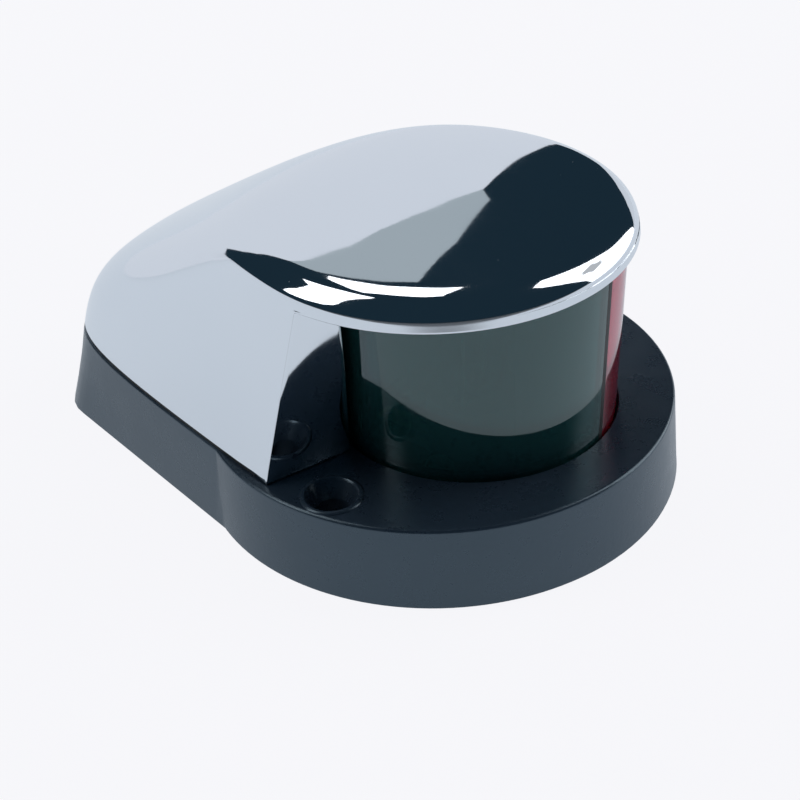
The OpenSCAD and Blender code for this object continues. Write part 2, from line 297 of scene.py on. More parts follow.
def mouldedPlastic(name, values):
    # injection-moulded plastic: fine texture, cloudy tone, scuffs and rubbed edges
    material, nodes, links = emptyMaterial(name)
    output = nodes.new("ShaderNodeOutputMaterial")
    output.label = "moulded surface"
    plastic = nodes.new("ShaderNodeBsdfPrincipled")
    plastic.label = "moulded plastic"
    plastic.inputs["IOR"].default_value = 1.5
    plastic.inputs["Specular IOR Level"].default_value = values["specular"]
    plastic.inputs["Specular Tint"].default_value = (*values["sheen"], 1)
    place = nodes.new("ShaderNodeTexCoord")
    place.label = "place on the piece"

    cloud = nodes.new("ShaderNodeTexNoise")
    cloud.label = "cloudy tone"
    cloud.inputs["Scale"].default_value = 60
    cloud.inputs["Detail"].default_value = 5
    colour = nodes.new("ShaderNodeMix")
    colour.label = "body colour"
    colour.data_type = "RGBA"
    colour.inputs["A"].default_value = (*values["colour"], 1)
    colour.inputs["B"].default_value = (*values["shade"], 1)
    edges = nodes.new("ShaderNodeNewGeometry")
    edges.label = "edges and hollows"
    rubbed = nodes.new("ShaderNodeMapRange")
    rubbed.label = "rubbed edges"
    rubbed.inputs["From Min"].default_value = 0.53
    rubbed.inputs["From Max"].default_value = 0.62
    rubbed.inputs["To Max"].default_value = values["rub"]
    worn = nodes.new("ShaderNodeMix")
    worn.label = "paler where rubbed"
    worn.data_type = "RGBA"
    worn.inputs["B"].default_value = (*values["worn"], 1)

    scuff = nodes.new("ShaderNodeTexNoise")
    scuff.label = "scuffs"
    scuff.inputs["Scale"].default_value = 220
    scuff.inputs["Detail"].default_value = 6
    scuff.inputs["Roughness"].default_value = 0.7
    gloss = nodes.new("ShaderNodeMapRange")
    gloss.label = "scuffs to roughness"
    gloss.inputs["From Min"].default_value = 0.3
    gloss.inputs["From Max"].default_value = 0.7
    gloss.inputs["To Min"].default_value = values["gloss"] - 0.03
    gloss.inputs["To Max"].default_value = values["gloss"] + 0.04

    grain = nodes.new("ShaderNodeTexNoise")
    grain.label = "mould texture"
    grain.inputs["Scale"].default_value = values["grainScale"]
    grain.inputs["Detail"].default_value = 3
    grainBump = nodes.new("ShaderNodeBump")
    grainBump.label = "texture relief"
    grainBump.inputs["Strength"].default_value = values["grain"]
    grainBump.inputs["Distance"].default_value = 0.00006
    flow = nodes.new("ShaderNodeTexNoise")
    flow.label = "sink and flow"
    flow.inputs["Scale"].default_value = 45
    flowBump = nodes.new("ShaderNodeBump")
    flowBump.label = "flow relief"
    flowBump.inputs["Strength"].default_value = 0.35
    flowBump.inputs["Distance"].default_value = 0.0003

    for target in (cloud, scuff, grain, flow):
        links.new(place.outputs["Object"], target.inputs["Vector"])
    links.new(cloud.outputs["Fac"], colour.inputs["Factor"])
    links.new(edges.outputs["Pointiness"], rubbed.inputs["Value"])
    links.new(rubbed.outputs["Result"], worn.inputs["Factor"])
    links.new(colour.outputs["Result"], worn.inputs["A"])
    links.new(worn.outputs["Result"], plastic.inputs["Base Color"])
    links.new(scuff.outputs["Fac"], gloss.inputs["Value"])
    links.new(gloss.outputs["Result"], plastic.inputs["Roughness"])
    links.new(flow.outputs["Fac"], flowBump.inputs["Height"])
    links.new(grain.outputs["Fac"], grainBump.inputs["Height"])
    links.new(flowBump.outputs["Normal"], grainBump.inputs["Normal"])
    links.new(grainBump.outputs["Normal"], plastic.inputs["Normal"])
    links.new(plastic.outputs["BSDF"], output.inputs["Surface"])

    layout(nodes, {
        "place": [place], "colour": [cloud, colour, edges, rubbed, worn], "gloss": [scuff, gloss],
        "relief": [flow, flowBump, grain, grainBump], "surface": [plastic, output]})
    return material


def tintedClear(name, values):
    # clear moulding or glass: tinted through its thickness, with faint ripples and handling marks
    material, nodes, links = emptyMaterial(name)
    output = nodes.new("ShaderNodeOutputMaterial")
    output.label = "clear surface"
    clear = nodes.new("ShaderNodeBsdfPrincipled")
    clear.label = "clear moulding"
    clear.inputs["IOR"].default_value = values["ior"]
    clear.inputs["Transmission Weight"].default_value = values["transmission"]
    clear.inputs["Specular Tint"].default_value = (*values["sheen"], 1)
    place = nodes.new("ShaderNodeTexCoord")
    place.label = "place on the lens"

    streak = nodes.new("ShaderNodeTexNoise")
    streak.label = "tint streaks"
    streak.inputs["Scale"].default_value = 70
    streak.inputs["Detail"].default_value = 3
    tint = nodes.new("ShaderNodeMix")
    tint.label = "tint"
    tint.data_type = "RGBA"
    tint.inputs["A"].default_value = (*values["tint"], 1)
    tint.inputs["B"].default_value = (*values["tintShade"], 1)

    smear = nodes.new("ShaderNodeTexNoise")
    smear.label = "handling marks"
    smear.inputs["Scale"].default_value = 130
    smear.inputs["Detail"].default_value = 5
    haze = nodes.new("ShaderNodeMapRange")
    haze.label = "marks to roughness"
    haze.inputs["From Min"].default_value = 0.45
    haze.inputs["From Max"].default_value = 0.75
    haze.inputs["To Min"].default_value = values["polish"]
    haze.inputs["To Max"].default_value = values["polish"] + values["haze"]

    ripple = nodes.new("ShaderNodeTexNoise")
    ripple.label = "moulding ripple"
    ripple.inputs["Scale"].default_value = 80
    ripple.inputs["Detail"].default_value = 1
    rippleBump = nodes.new("ShaderNodeBump")
    rippleBump.label = "ripple"
    rippleBump.inputs["Strength"].default_value = values["ripple"]
    rippleBump.inputs["Distance"].default_value = 0.0002

    for target in (streak, smear, ripple):
        links.new(place.outputs["Object"], target.inputs["Vector"])
    links.new(streak.outputs["Fac"], tint.inputs["Factor"])
    links.new(tint.outputs["Result"], clear.inputs["Base Color"])
    links.new(smear.outputs["Fac"], haze.inputs["Value"])
    links.new(haze.outputs["Result"], clear.inputs["Roughness"])
    links.new(ripple.outputs["Fac"], rippleBump.inputs["Height"])
    links.new(rippleBump.outputs["Normal"], clear.inputs["Normal"])
    links.new(clear.outputs["BSDF"], output.inputs["Surface"])

    layout(nodes, {
        "place": [place], "tint": [streak, tint], "polish": [smear, haze],
        "relief": [ripple, rippleBump], "surface": [clear, output]})
    return material


def softRubber(name, values):
    # matt rubber: bloom on the surface and a fine skin or closed cells
    material, nodes, links = emptyMaterial(name)
    output = nodes.new("ShaderNodeOutputMaterial")
    output.label = "rubber surface"
    rubber = nodes.new("ShaderNodeBsdfPrincipled")
    rubber.label = "rubber"
    rubber.inputs["Specular IOR Level"].default_value = 0.3
    rubber.inputs["Sheen Weight"].default_value = 0.15
    place = nodes.new("ShaderNodeTexCoord")
    place.label = "place on the rubber"

    bloom = nodes.new("ShaderNodeTexNoise")
    bloom.label = "bloom"
    bloom.inputs["Scale"].default_value = 150
    bloom.inputs["Detail"].default_value = 6
    colour = nodes.new("ShaderNodeMix")
    colour.label = "rubber colour"
    colour.data_type = "RGBA"
    colour.inputs["A"].default_value = (*values["colour"], 1)
    colour.inputs["B"].default_value = (*values["bloom"], 1)
    dull = nodes.new("ShaderNodeMapRange")
    dull.label = "bloom to roughness"
    dull.inputs["To Min"].default_value = 0.62
    dull.inputs["To Max"].default_value = 0.88
    cells = nodes.new("ShaderNodeTexVoronoi")
    cells.label = "skin and cells"
    cells.inputs["Scale"].default_value = values["cellScale"]
    cellBump = nodes.new("ShaderNodeBump")
    cellBump.label = "cell relief"
    cellBump.inputs["Strength"].default_value = values["relief"]
    cellBump.inputs["Distance"].default_value = 0.0001

    for target in (bloom, cells):
        links.new(place.outputs["Object"], target.inputs["Vector"])
    links.new(bloom.outputs["Fac"], colour.inputs["Factor"])
    links.new(bloom.outputs["Fac"], dull.inputs["Value"])
    links.new(colour.outputs["Result"], rubber.inputs["Base Color"])
    links.new(dull.outputs["Result"], rubber.inputs["Roughness"])
    links.new(cells.outputs["Distance"], cellBump.inputs["Height"])
    links.new(cellBump.outputs["Normal"], rubber.inputs["Normal"])
    links.new(rubber.outputs["BSDF"], output.inputs["Surface"])

    layout(nodes, {
        "place": [place], "colour": [bloom, colour, dull], "relief": [cells, cellBump],
        "surface": [rubber, output]})
    return material


def workedMetal(name, values):
    # rolled, turned or drawn metal: grain along one way, patchy tarnish
    material, nodes, links = emptyMaterial(name)
    output = nodes.new("ShaderNodeOutputMaterial")
    output.label = "metal surface"
    metal = nodes.new("ShaderNodeBsdfPrincipled")
    metal.label = "worked metal"
    metal.inputs["Metallic"].default_value = 1
    place = nodes.new("ShaderNodeTexCoord")
    place.label = "place on the metal"
    drawn = nodes.new("ShaderNodeMapping")
    drawn.label = "way of the grain"
    drawn.inputs["Scale"].default_value = values["stretch"]

    tarnish = nodes.new("ShaderNodeTexNoise")
    tarnish.label = "tarnish"
    tarnish.inputs["Scale"].default_value = 240
    tarnish.inputs["Detail"].default_value = 4
    colour = nodes.new("ShaderNodeMix")
    colour.label = "metal colour"
    colour.data_type = "RGBA"
    colour.inputs["A"].default_value = (*values["colour"], 1)
    colour.inputs["B"].default_value = (*values["tarnish"], 1)
    grain = nodes.new("ShaderNodeTexNoise")
    grain.label = "working grain"
    grain.inputs["Scale"].default_value = 900
    grain.inputs["Detail"].default_value = 3
    gloss = nodes.new("ShaderNodeMapRange")
    gloss.label = "grain to roughness"
    gloss.inputs["To Min"].default_value = values["polish"]
    gloss.inputs["To Max"].default_value = values["polish"] + 0.22
    grainBump = nodes.new("ShaderNodeBump")
    grainBump.label = "grain relief"
    grainBump.inputs["Strength"].default_value = 0.4
    grainBump.inputs["Distance"].default_value = 0.00002

    links.new(place.outputs["Object"], drawn.inputs["Vector"])
    links.new(place.outputs["Object"], tarnish.inputs["Vector"])
    links.new(drawn.outputs["Vector"], grain.inputs["Vector"])
    links.new(tarnish.outputs["Fac"], colour.inputs["Factor"])
    links.new(grain.outputs["Fac"], gloss.inputs["Value"])
    links.new(grain.outputs["Fac"], grainBump.inputs["Height"])
    links.new(colour.outputs["Result"], metal.inputs["Base Color"])
    links.new(gloss.outputs["Result"], metal.inputs["Roughness"])
    links.new(grainBump.outputs["Normal"], metal.inputs["Normal"])
    links.new(metal.outputs["BSDF"], output.inputs["Surface"])

    layout(nodes, {
        "place": [place, drawn], "colour": [tarnish, colour], "gloss": [grain, gloss],
        "relief": [grainBump], "surface": [metal, output]})
    return material


# the chrome's edge values darken the plate along its sharp convex edges
chrome = chromePlate("chrome", {
    "tint": (0.80, 0.835, 0.875), "tintShade": (0.745, 0.785, 0.83), "polish": 0.025, "haze": 0.05,
    "hazeScale": 55, "dustScale": 620, "dustSize": 0.045, "rippleScale": 34, "ripple": 0.06, "grain": 0.05,
    "edgeDarkening": 0.8, "edgeDarkColour": (0.06, 0.065, 0.07)})
basePlastic = mouldedPlastic("basePlastic", {
    "colour": (0.017, 0.029, 0.047), "shade": (0.026, 0.042, 0.064), "worn": (0.04, 0.058, 0.078), "rub": 0.3,
    "gloss": 0.28, "specular": 1.0, "sheen": (0.68, 0.88, 1.0), "grain": 0.3, "grainScale": 1500})
blackPlastic = mouldedPlastic("blackPlastic", {
    "colour": (0.008, 0.009, 0.01), "shade": (0.016, 0.018, 0.019), "worn": (0.04, 0.04, 0.042), "rub": 0.4,
    "gloss": 0.5, "specular": 0.4, "sheen": (1, 1, 1), "grain": 0.5, "grainScale": 1800})
holderPlastic = mouldedPlastic("holderPlastic", {
    "colour": (0.05, 0.032, 0.022), "shade": (0.085, 0.058, 0.042), "worn": (0.16, 0.12, 0.09), "rub": 0.5,
    "gloss": 0.42, "specular": 0.5, "sheen": (1, 1, 1), "grain": 0.35, "grainScale": 1300})
greenClear = tintedClear("greenClear", {
    "tint": (0.05, 0.25, 0.25), "tintShade": (0.04, 0.2, 0.2), "ior": 1.8, "transmission": 0.84,
    "sheen": (0.88, 1.0, 1.0), "polish": 0.03, "haze": 0.07, "ripple": 0.05})
redClear = tintedClear("redClear", {
    "tint": (0.66, 0.05, 0.1), "tintShade": (0.56, 0.04, 0.08), "ior": 1.85, "transmission": 0.82,
    "sheen": (1.0, 0.9, 1.0), "polish": 0.03, "haze": 0.07, "ripple": 0.05})
bulbClear = tintedClear("bulbClear", {
    "tint": (0.97, 0.985, 0.98), "tintShade": (0.94, 0.965, 0.96), "ior": 1.5, "transmission": 1.0,
    "sheen": (1, 1, 1), "polish": 0.0, "haze": 0.04, "ripple": 0.12})
sealRubber = softRubber("sealRubber", {
    "colour": (0.012, 0.012, 0.013), "bloom": (0.028, 0.029, 0.031), "cellScale": 2600, "relief": 0.25})
foamRubber = softRubber("foamRubber", {
    "colour": (0.014, 0.014, 0.015), "bloom": (0.036, 0.037, 0.04), "cellScale": 1300, "relief": 0.8})
brassStrip = workedMetal("brassStrip", {
    "colour": (0.80, 0.58, 0.24), "tarnish": (0.56, 0.37, 0.15), "polish": 0.18, "stretch": (0.1, 1, 1)})
stainless = workedMetal("stainless", {
    "colour": (0.66, 0.67, 0.68), "tarnish": (0.5, 0.5, 0.5), "polish": 0.2, "stretch": (1, 1, 0.1)})
leadWire = workedMetal("leadWire", {
    "colour": (0.55, 0.49, 0.42), "tarnish": (0.38, 0.31, 0.26), "polish": 0.25, "stretch": (1, 1, 0.05)})
tungsten = workedMetal("tungsten", {
    "colour": (0.24, 0.24, 0.26), "tarnish": (0.13, 0.13, 0.15), "polish": 0.35, "stretch": (1, 0.1, 1)})
print("materials made:", len(bpy.data.materials))


hoodValues = {
    "capX": -6.0,        # centre of the cap and of the round front
    "taper": 16.0,       # degrees, each long side towards the stern
    "lipR": 29.6, "lipZ": 40.8, "bandZ": 41.9,
    "draft": 5.6 / 27.9,
    "filletW": 6.2, "filletH": 3.5,
    "topZ": 47.4, "crownX": -6.6,
    "seatZ": 13.3, "wingFootZ": 13.4,    # the base's top, and the front faces' foot
    "skirtZ": 14.0,
    "sideFull": (0.97, 0.16), "sternFull": (0.95, 0.37),   # how square the tail is, and its loss by the top
    "wingOff": 0.9, "wingAngle": 23.4, "wingLean": 4.3, "wingBow": 0.45,
    "openingR": 22.95, "openingTopR": 24.3,   # bore that clears the lens, at the foot and the lip's ends
    "wall": 1.2,
    # the back's centre line: x, z, slope
    "back": [(-6, 47.4, 0), (-10, 47.32, .04), (-15.5, 46.96, .09), (-21, 46.3, .15), (-26, 45.39, .215),
             (-30, 44.38, .29), (-34, 43.04, .38), (-38, 41.34, .47), (-42, 39.32, .54), (-48, 35.93, .59),
             (-56, 31.17, .6), (-62, 27.39, .66), (-66, 24.37, .85), (-69, 20.85, 1.5), (-70.6, 17.25, 3),
             (-71.2, 13.95, 8)],
    "sideLevels": [13.95, 15.2, 18, 21.5, 25.5, 29.5, 33.5, 37.2, 39.8],
    "filletAngles": [12, 24, 36, 48, 60, 73],
    "frontColumns": 8,   # bow to wing corner
    "aftColumns": 16,    # wing corner to stern
    "wingSteps": 3,
}


def backHeight(x):
    # height of the back on the centre line
    rows = hoodValues["back"]
    for (x0, z0, s0), (x1, z1, s1) in zip(rows, rows[1:]):
        if x >= x1:
            break
    h = x0 - x1
    t = min(max((x0 - x) / h, 0), 1)
    return (z0 * (2 * t**3 - 3 * t**2 + 1) - s0 * h * (t**3 - 2 * t**2 + t)
            + z1 * (-2 * t**3 + 3 * t**2) - s1 * h * (t**3 - t**2))


def sternAt(z):
    low, high = hoodValues["back"][-1][0], hoodValues["capX"]
    for _ in range(40):
        middle = (low + high) / 2
        if backHeight(middle) < z:
            low = middle
        else:
            high = middle
    return (low + high) / 2


def cornerAngle(z, r):
    # where the front face cuts the side, in degrees from the bow
    lean = math.tan(math.radians(hoodValues["wingLean"]))
    a = math.radians(hoodValues["wingAngle"])
    offset = hoodValues["wingOff"] + lean * (z - hoodValues["seatZ"])
    low, high = 60.0, 140.0
    for _ in range(40):
        middle = (low + high) / 2
        t = math.radians(middle)
        ahead = math.cos(a) * (hoodValues["capX"] + r * math.cos(t)) + math.sin(a) * r * math.sin(t) - offset
        if ahead > 0:
            low = middle
        else:
            high = middle
    return (low + high) / 2


def halfOutline(z, r, endX, corner):
    # port half of the outline at one height, bow to stern
    v = hoodValues
    rise = max((z - v["skirtZ"]) / (v["topZ"] - v["skirtZ"]), 0)
    sideFull, sternFull = (full - loss * rise for full, loss in (v["sideFull"], v["sternFull"]))
    points = []
    for i in range(v["frontColumns"] + 1):
        t = math.radians(corner * i / v["frontColumns"])
        points.append((v["capX"] + r * math.cos(t), r * math.sin(t)))
    taper = math.radians(v["taper"])
    p = Vector((v["capX"] - r * math.sin(taper), r * math.cos(taper)))
    edge = Vector((endX, p.y - (p.x - endX) * math.tan(taper)))
    a, b, c, d = p, p + (edge - p) * sideFull, Vector((endX, edge.y * sternFull)), Vector((endX, 0))
    count = v["aftColumns"] - 1
    for i in range(count + 1):
        t = i / count
        q = (1 - t)**3 * a + 3 * (1 - t)**2 * t * b + 3 * (1 - t) * t * t * c + t**3 * d
        points.append((q.x, q.y))
    return points


def hoodLevels():
    # (z, radius) from the skirt up over the lip to the edge of the domed top
    v = hoodValues
    side = [(z, v["lipR"] + (v["bandZ"] - z) * v["draft"]) for z in v["sideLevels"] + [v["lipZ"], v["bandZ"]]]
    fillet = []
    for a in v["filletAngles"]:
        t = math.radians(a)
        fillet.append((v["bandZ"] + v["filletH"] * math.sin(t), v["lipR"] - v["filletW"] * (1 - math.cos(t))))
    return side, fillet


def makeHood():
    v = hoodValues
    side, fillet = hoodLevels()
    front, half = v["frontColumns"], v["frontColumns"] + v["aftColumns"]
    around = half * 2
    lipRow = len(side) - 2
    bm = bmesh.new()
    crease = bm.edges.layers.float.new("crease_edge")
    pin = bm.verts.layers.float.new("crease_vert")
    lipCorner = cornerAngle(v["lipZ"], side[lipRow][1])

    def ring(z, r, corner):
        points = halfOutline(z, r, sternAt(z), corner)
        loop = {}
        for i, (x, y) in enumerate(points):
            loop[i] = (x, y, z)
            loop[-i] = (x, -y, z)
        return loop

    # side wall and cap, one ring of vertices for each height
    rings = []
    for row, (z, r) in enumerate(side + fillet):
        corner = cornerAngle(z, r) if row <= lipRow else lipCorner
        places = ring(z, r, corner)
        if row == 0:
            for s in (-1, 1):
                x, y, _ = places[s * front]
                places[s * front] = (x, y, v["wingFootZ"])
        loop = {}
        for i in range(-half + 1, half + 1):
            if row < lipRow and abs(i) < front:
                continue
            loop[i] = bm.verts.new(places[i])
        rings.append(loop)

    def wrap(i):
        return i if -half < i <= half else (i - around if i > half else i + around)

    for row in range(len(rings) - 1):
        low, high = rings[row], rings[row + 1]
        for i in range(-half, half):
            a, b = wrap(i), wrap(i + 1)
            opening = row < lipRow and -front <= i < front
            if not opening and all(k in loop for k in (a, b) for loop in (low, high)):
                bm.faces.new((low[a], low[b], high[b], high[a]))

    # the domed top is a square patch of quads, so no pole spoils the reflections
    n = around // 4
    rimZ, rimR = fillet[-1]
    patch = {}
    for j in range(n + 1):
        for k in range(n + 1):
            u, w = 2 * j / n - 1, 2 * k / n - 1
            level = max(abs(u), abs(w))
            if level == 0:
                patch[j, k] = bm.verts.new((v["crownX"], 0, v["topZ"]))
                continue
            # place along the ring: the square's corners fall an eighth of the way round
            if abs(u) >= abs(w):
                turn = (w / abs(u)) / 8 if u > 0 else 0.5 - (w / abs(u)) / 8
            else:
                turn = 0.25 - (u / abs(w)) / 8 if w > 0 else -0.25 + (u / abs(w)) / 8
            if turn > 0.5:
                turn -= 1
            index = round(turn * around, 6)
            if level == 1:
                patch[j, k] = rings[-1][wrap(int(round(index)))]
                continue
            r = rimR * level
            z = v["topZ"] - (v["topZ"] - rimZ) * level**2
            points = ring(z, r, lipCorner)
            below = math.floor(index)
            part = index - below
            p, q = Vector(points[wrap(below)]), Vector(points[wrap(below + 1)])
            patch[j, k] = bm.verts.new(p.lerp(q, part))
    for j in range(n):
        for k in range(n):
            bm.faces.new((patch[j, k], patch[j + 1, k], patch[j + 1, k + 1], patch[j, k + 1]))

    # front faces, from each corner in to the bore, and the lip's underside between them
    a = math.radians(v["wingAngle"])
    lean = math.tan(math.radians(v["wingLean"]))

    def boreEdge(z, s):
        offset = v["wingOff"] + lean * (z - v["seatZ"])
        rise = (z - v["seatZ"]) / (v["lipZ"] - v["seatZ"])
        radius = v["openingR"] + (v["openingTopR"] - v["openingR"]) * rise
        along = math.sqrt(radius**2 - offset**2)
        return Vector((math.cos(a) * offset - math.sin(a) * along,
                       s * (math.sin(a) * offset + math.cos(a) * along), z))

    steps = v["wingSteps"]
    wings = {}
    for s in (-1, 1):
        for row in range(lipRow + 1):
            outer = rings[row][s * front]
            inner = boreEdge(outer.co.z, s)
            line = [outer]
            t = (outer.co.z - v["wingFootZ"]) / (v["lipZ"] - v["wingFootZ"])
            for k in range(1, steps + 1):
                bow = v["wingBow"] * 4 * t * (1 - t) * (1 - (1 - k / steps)**2)
                place = outer.co.lerp(inner, k / steps) + Vector((math.cos(a), s * math.sin(a), 0)) * bow
                line.append(bm.verts.new(place))
            wings[s, row] = line
        for row in range(lipRow):
            for k in range(steps):
                low, high = wings[s, row], wings[s, row + 1]
                quad = (low[k], low[k + 1], high[k + 1], high[k])
                bm.faces.new(quad if s < 0 else quad[::-1])
    edge = boreEdge(v["lipZ"], 1)
    spread = math.atan2(edge.y, edge.x)
    under = {front: wings[1, lipRow], -front: wings[-1, lipRow]}
    for i in range(-front + 1, front):
        outer = rings[lipRow][i]
        t = spread * i / front
        r = v["openingR"] + (v["openingTopR"] - v["openingR"]) * abs(i / front)**6
        inner = Vector((r * math.cos(t), r * math.sin(t), v["lipZ"]))
        under[i] = [outer] + [bm.verts.new(outer.co.lerp(inner, k / steps)) for k in range(1, steps + 1)]
    for i in range(-front, front):
        for k in range(steps):
            bm.faces.new((under[i][k], under[i][k + 1], under[i + 1][k + 1], under[i + 1][k]))

    def sharpen(p, q):
        e = bm.edges.get((p, q))
        if e:
            e[crease] = 1

    for s in (-1, 1):
        for row in range(lipRow):
            sharpen(rings[row][s * front], rings[row + 1][s * front])
        for k in range(steps):
            sharpen(wings[s, lipRow][k], wings[s, lipRow][k + 1])
        for vert in (wings[s, 0][0], wings[s, 0][-1], wings[s, lipRow][-1], wings[s, lipRow][0]):
            vert[pin] = 1
    for i in range(-front, front):
        sharpen(rings[lipRow][i], rings[lipRow][i + 1])
    bmesh.ops.recalc_face_normals(bm, faces=bm.faces)
    top = max(bm.faces, key=lambda f: f.calc_center_median().z)
    if top.normal.z < 0:
        bmesh.ops.reverse_faces(bm, faces=bm.faces)
    bmesh.ops.scale(bm, vec=(mm, mm, mm), verts=bm.verts)
    for face in bm.faces:
        face.smooth = True
    mesh = bpy.data.meshes.new("hoodShell")
    bm.to_mesh(mesh)
    bm.free()
    shell = newPiece("hoodShell", mesh, "hood", chrome, ("hood",))
    addSubsurf(shell, 2)
    wall = shell.modifiers.new("casting wall", "SOLIDIFY")
    wall.thickness = v["wall"] * mm
    wall.offset = -1
    wall.use_even_offset = True
    addBevel(shell, 0.1, 2, 40)
    addWeighted(shell)
    return shell


hoodShell = makeHood()
print("hood made")


baseValues = {
    "height": 13.3, "discX": -6.7, "discR": 37.4, "discTopR": 36.5,
    "tailR": 36.8, "tailX": -71.0, "cornerR": 7.5, "cornerY": 13.4,   # the tail at the deck
    "skirtR": 35.34, "skirtX": -71.4,                                  # and at the hood's skirt
    "outlineSteps": 72,
    "chamberR": 18.0, "floorZ": 5.0, "groove": (19.3, 21.9, 11.3),
    "holeX": -4.4, "holeY": 31.5, "holeR": 2.4, "sinkR": 3.8, "ringR": 4.6, "ringRise": 0.3,
    "screws": [(-60.5, 0), (-30, 22), (-30, -22)], "screwR": 1.8, "counterR": 3.5, "counterZ": 6.5,
    "outletX": -39.0, "outletR": 4.5, "recess": 1.5, "rim": 3.0,
    "pocketFront": (-34, 12), "pocketBack": (-44, 9),   # x and radius of the wiring pocket's round ends
    "channel": (-30, -10, 4),                           # from x to x, and half width
}


def turned(name, profile, steps, x=0.0, y=0.0, closed=False):
    # a profile of (radius, height) from top to bottom, turned about its own axis and then put in place
    edges = [(i, i + 1) for i in range(len(profile) - 1)]
    if closed:
        edges.append((len(profile) - 1, 0))
    mesh = bpy.data.meshes.new(name)
    mesh.from_pydata([(r * mm, 0, z * mm) for r, z in profile], edges, [])
    piece = bpy.data.objects.new(name, mesh)
    scene.collection.objects.link(piece)
    addScrew(piece, steps)
    return applyStack(piece, Matrix.Translation((x * mm, y * mm, 0)))


def outlineAt(points, count):
    # an even spacing of points along half an outline, bow to stern, then mirrored to the other side
    lengths = [0]
    for p, q in zip(points, points[1:]):
        lengths.append(lengths[-1] + math.dist(p, q))
    half = []
    for i in range(count + 1):
        want = lengths[-1] * i / count
        k = max(j for j in range(len(points) - 1) if lengths[j] <= want + 1e-9)
        t = (want - lengths[k]) / max(lengths[k + 1] - lengths[k], 1e-9)
        half.append((points[k][0] + (points[k + 1][0] - points[k][0]) * t,
                     points[k][1] + (points[k + 1][1] - points[k][1]) * t))
    return half + [(x, -y) for x, y in half[-2:0:-1]]


def deckOutline(inset):
    # the tail where it meets the deck: a round front, straight sides and two round corners
    v = baseValues
    r, c = v["tailR"] - inset, v["cornerR"] - inset
    frontX, cornerX = hoodValues["capX"], v["tailX"] + v["cornerR"]
    span = math.hypot(cornerX - frontX, v["cornerY"])
    lean = math.atan2(v["cornerY"], cornerX - frontX) - math.acos((v["tailR"] - v["cornerR"]) / span)
    points = []
    for i in range(41):
        t = lean * i / 40
        points.append((frontX + r * math.cos(t), r * math.sin(t)))
    for i in range(21):
        t = lean + (math.pi - lean) * i / 20
        points.append((cornerX + c * math.cos(t), v["cornerY"] + c * math.sin(t)))
    points.append((v["tailX"] + inset, 0))
    return outlineAt(points, v["outlineSteps"])


def skirtOutline(inset):
    v = baseValues
    half = halfOutline(v["height"], v["skirtR"] - inset, v["skirtX"] + inset, 100)
    return outlineAt(half, v["outlineSteps"])


def lofted(name, rows):
    # rows of (outline, height), low to high
    points, faces = [], []
    n = len(rows[0][0])
    for outline, z in rows:
        points += [(x, y, z) for x, y in outline]
    for row in range(len(rows) - 1):
        for i in range(n):
            a, b = row * n + i, row * n + (i + 1) % n
            faces.append((a, b, b + n, a + n))
    faces.append(list(range(n))[::-1])
    faces.append([(len(rows) - 1) * n + i for i in range(n)])
    piece = bpy.data.objects.new(name, meshFrom(name, points, faces))
    scene.collection.objects.link(piece)
    return piece


def blended(low, high, t):
    return [(a + (c - a) * t, b + (d - b) * t) for (a, b), (c, d) in zip(low, high)]


def shaped(target, tool, operation):
    # joins or cuts with a helper, which is then removed
    boolean = target.modifiers.new("shape", "BOOLEAN")
    boolean.object = tool
    boolean.operation = operation
    boolean.solver = "EXACT"
    applyStack(target)
    bpy.data.objects.remove(tool)
    cage = bmesh.new()
    cage.from_mesh(target.data)
    bmesh.ops.remove_doubles(cage, verts=cage.verts, dist=0.002 * mm)
    bmesh.ops.dissolve_degenerate(cage, edges=cage.edges, dist=0.002 * mm)
    cage.to_mesh(target.data)
    cage.free()
    return target


